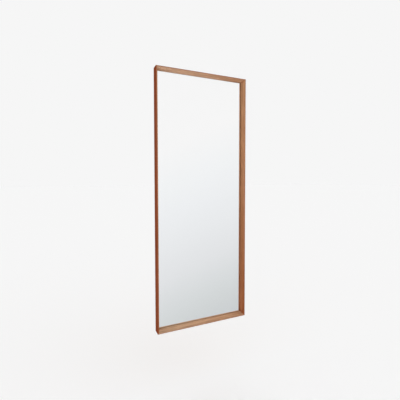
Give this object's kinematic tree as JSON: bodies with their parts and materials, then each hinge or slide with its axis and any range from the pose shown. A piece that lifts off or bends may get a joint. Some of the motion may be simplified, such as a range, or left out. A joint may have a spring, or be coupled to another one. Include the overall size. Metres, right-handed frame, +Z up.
{
  "type": "full-length mirror",
  "caption": "Tall wall-hung mirror in a slim, deep, mitred hardwood box frame, the glass set well back, hung by swinging rings on a batten behind the panel.",
  "frame": {"origin": "middle of the frame's bottom edge, half way between its front edge and the wall", "axes": "+X to the viewer's right across the mirror, +Y from the front to the wall, +Z up"},
  "size_m": [0.69, 0.062, 1.8],
  "materials": {
    "oiled_teak": "oiled satin, open grain",
    "beech": "sawn",
    "mirror_glass": "polished float glass, silvered back",
    "felt": "pressed felt",
    "rubber": "matt",
    "foam_sheet": "thin closed-cell foam",
    "hardboard": "smooth face outwards",
    "pine": "planed, unfinished",
    "zinc_plated_steel": "bright zinc plating"
  },
  "bodies": {
    "mirror": {"back_panel": "hardboard", "backing_sheet": "foam_sheet", "bottom_bead": "pine", "bottom_bead_screws": "zinc_plated_steel", "bottom_glass_tape": "felt", "bottom_left_bumper": "felt", "bottom_left_spline": "beech", "bottom_rail": "oiled_teak", "bottom_right_bumper": "felt", "bottom_right_spline": "beech", "hanging_batten": "pine", "left_bracket_screws": "zinc_plated_steel", "left_glass_tape": "felt", "left_hanger_screws": "zinc_plated_steel", "left_hanger_strap": "zinc_plated_steel", "left_lower_bead": "pine", "left_lower_bead_screws": "zinc_plated_steel", "left_lower_bracket": "zinc_plated_steel", "left_setting_block": "rubber", "left_stile": "oiled_teak", "left_upper_bead": "pine", "left_upper_bead_screws": "zinc_plated_steel", "left_upper_bracket": "zinc_plated_steel", "mirror_glass": "mirror_glass", "right_bracket_screws": "zinc_plated_steel", "right_glass_tape": "felt", "right_hanger_screws": "zinc_plated_steel", "right_hanger_strap": "zinc_plated_steel", "right_lower_bead": "pine", "right_lower_bead_screws": "zinc_plated_steel", "right_lower_bracket": "zinc_plated_steel", "right_setting_block": "rubber", "right_stile": "oiled_teak", "right_upper_bead": "pine", "right_upper_bead_screws": "zinc_plated_steel", "right_upper_bracket": "zinc_plated_steel", "top_bead": "pine", "top_bead_screws": "zinc_plated_steel", "top_glass_tape": "felt", "top_left_bumper": "felt", "top_left_spline": "beech", "top_rail": "oiled_teak", "top_right_bumper": "felt", "top_right_spline": "beech"},
    "left_ring": {"left_hanging_ring": "zinc_plated_steel"},
    "right_ring": {"right_hanging_ring": "zinc_plated_steel"}
  },
  "joints": [
    {"name": "left_ring_swing", "type": "hinge", "parent": "mirror", "child": "left_ring", "pos_m": [-0.235, 0.0275, 1.494], "axis": [1, 0, 0], "range_deg": [0, 180]},
    {"name": "right_ring_swing", "type": "hinge", "parent": "mirror", "child": "right_ring", "pos_m": [0.235, 0.0275, 1.494], "axis": [1, 0, 0], "range_deg": [0, 180]}
  ]
}
